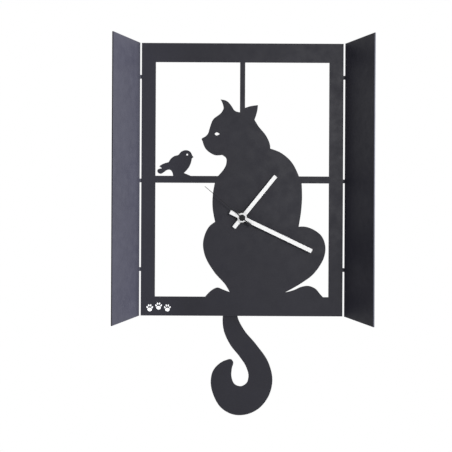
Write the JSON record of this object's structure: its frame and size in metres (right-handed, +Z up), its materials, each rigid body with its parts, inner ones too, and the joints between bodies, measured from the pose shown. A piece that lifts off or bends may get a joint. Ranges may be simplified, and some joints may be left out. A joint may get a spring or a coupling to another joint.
{
  "type": "pendulum wall clock",
  "caption": "Wall clock cut from dark steel sheet: a cat and a bird in an open window with folding shutters, three hands on the cat, and the cat's curled tail as the swinging pendulum.",
  "frame": {"origin": "on the wall plane, on the axis of the three hands", "axes": "+X to the viewer's right, +Y into the wall, +Z up"},
  "size_m": [0.2686, 0.0846, 0.4129],
  "materials": {
    "sheet": "fine-textured matt powder coat",
    "case_plastic": "fine moulded texture",
    "steel": "bright",
    "brass": "turned",
    "black_steel": "black oxide",
    "rubber": "matt",
    "battery_jacket": "plain printed jacket",
    "board": "solder mask",
    "chip": "epoxy",
    "copper": "enamelled wire",
    "wheel_plastic": "natural acetal",
    "magnet": "sintered",
    "hand_white": "white lacquer",
    "hand_grey": "dark grey lacquer",
    "cap_black": "satin"
  },
  "bodies": {
    "clock": {"window_panel": "sheet", "front_case": "case_plastic", "rear_case": "case_plastic", "case_screw_1": "steel", "case_screw_2": "steel", "case_screw_3": "steel", "case_screw_4": "steel", "wall_hanger": "steel", "threaded_bush": "brass", "rubber_gasket": "rubber", "clamp_washer": "black_steel", "hex_nut": "black_steel", "battery": "battery_jacket", "battery_contact_negative": "steel", "battery_contact_positive": "steel", "circuit_board": "board", "clock_chip": "chip", "quartz_crystal": "steel", "stator_plate": "steel", "coil_core": "steel", "coil_bobbin": "wheel_plastic", "coil_winding": "copper", "train_plate": "wheel_plastic", "drive_bobbin": "wheel_plastic", "drive_winding": "copper", "pendulum_pivot_pin": "steel"},
    "left_shutter": {"left_shutter": "sheet"},
    "right_shutter": {"right_shutter": "sheet"},
    "pendulum": {"pendulum_arm": "case_plastic", "pendulum_magnet": "magnet", "cat_tail": "sheet"},
    "minute": {"centre_wheel": "wheel_plastic", "cannon_pinion": "brass", "minute_hand": "hand_white"},
    "hour": {"hour_wheel": "wheel_plastic", "hour_hand": "hand_white"},
    "seconds": {"seconds_wheel": "wheel_plastic", "second_hand": "hand_grey", "second_cap": "cap_black"},
    "third": {"third_wheel": "wheel_plastic"},
    "intermediate": {"intermediate_wheel": "wheel_plastic"},
    "rotor": {"rotor_pinion": "wheel_plastic", "rotor_magnet": "magnet"},
    "motion": {"motion_wheel": "wheel_plastic"},
    "knob": {"setting_knob": "wheel_plastic"}
  },
  "joints": [
    {"name": "left_shutter_fold", "type": "hinge", "parent": "clock", "child": "left_shutter", "pos_m": [-0.1127, -0.02205, 0], "axis": [0, 0, 1], "range_deg": [-71.5, 18.5]},
    {"name": "right_shutter_fold", "type": "hinge", "parent": "clock", "child": "right_shutter", "pos_m": [0.1127, -0.02205, 0], "axis": [0, 0, -1], "range_deg": [-71.5, 18.5]},
    {"name": "pendulum_swing", "type": "hinge", "parent": "clock", "child": "pendulum", "pos_m": [0, -0.0083, -0.037], "axis": [0, 1, 0], "range_deg": [-8, 8]},
    {"name": "minute_turn", "type": "hinge", "parent": "clock", "child": "minute", "pos_m": [0, 0, 0], "axis": [0, 1, 0], "continuous": true},
    {"name": "hour_turn", "type": "hinge", "parent": "clock", "child": "hour", "pos_m": [0, 0, 0], "axis": [0, 1, 0], "continuous": true},
    {"name": "seconds_turn", "type": "hinge", "parent": "clock", "child": "seconds", "pos_m": [0, 0, 0], "axis": [0, 1, 0], "continuous": true},
    {"name": "third_turn", "type": "hinge", "parent": "clock", "child": "third", "pos_m": [-0.0102, 0, 0], "axis": [0, 1, 0], "continuous": true},
    {"name": "intermediate_turn", "type": "hinge", "parent": "clock", "child": "intermediate", "pos_m": [0.00308, 0, 0.00846], "axis": [0, 1, 0], "continuous": true},
    {"name": "rotor_turn", "type": "hinge", "parent": "clock", "child": "rotor", "pos_m": [-0.00117, 0, 0.01582], "axis": [0, 1, 0], "continuous": true},
    {"name": "motion_turn", "type": "hinge", "parent": "clock", "child": "motion", "pos_m": [0.0096, 0, 0], "axis": [0, 1, 0], "continuous": true},
    {"name": "knob_turn", "type": "hinge", "parent": "clock", "child": "knob", "pos_m": [0.01639, 0, -0.00679], "axis": [0, 1, 0], "continuous": true}
  ],
  "couplings": [
    {"joint": "hour_turn", "follows": "minute_turn", "ratio": 0.083333},
    {"joint": "seconds_turn", "follows": "minute_turn", "ratio": 60},
    {"joint": "third_turn", "follows": "minute_turn", "ratio": -8},
    {"joint": "intermediate_turn", "follows": "minute_turn", "ratio": -240},
    {"joint": "rotor_turn", "follows": "minute_turn", "ratio": 1800},
    {"joint": "motion_turn", "follows": "minute_turn", "ratio": -0.33333},
    {"joint": "knob_turn", "follows": "minute_turn", "ratio": 1}
  ]
}
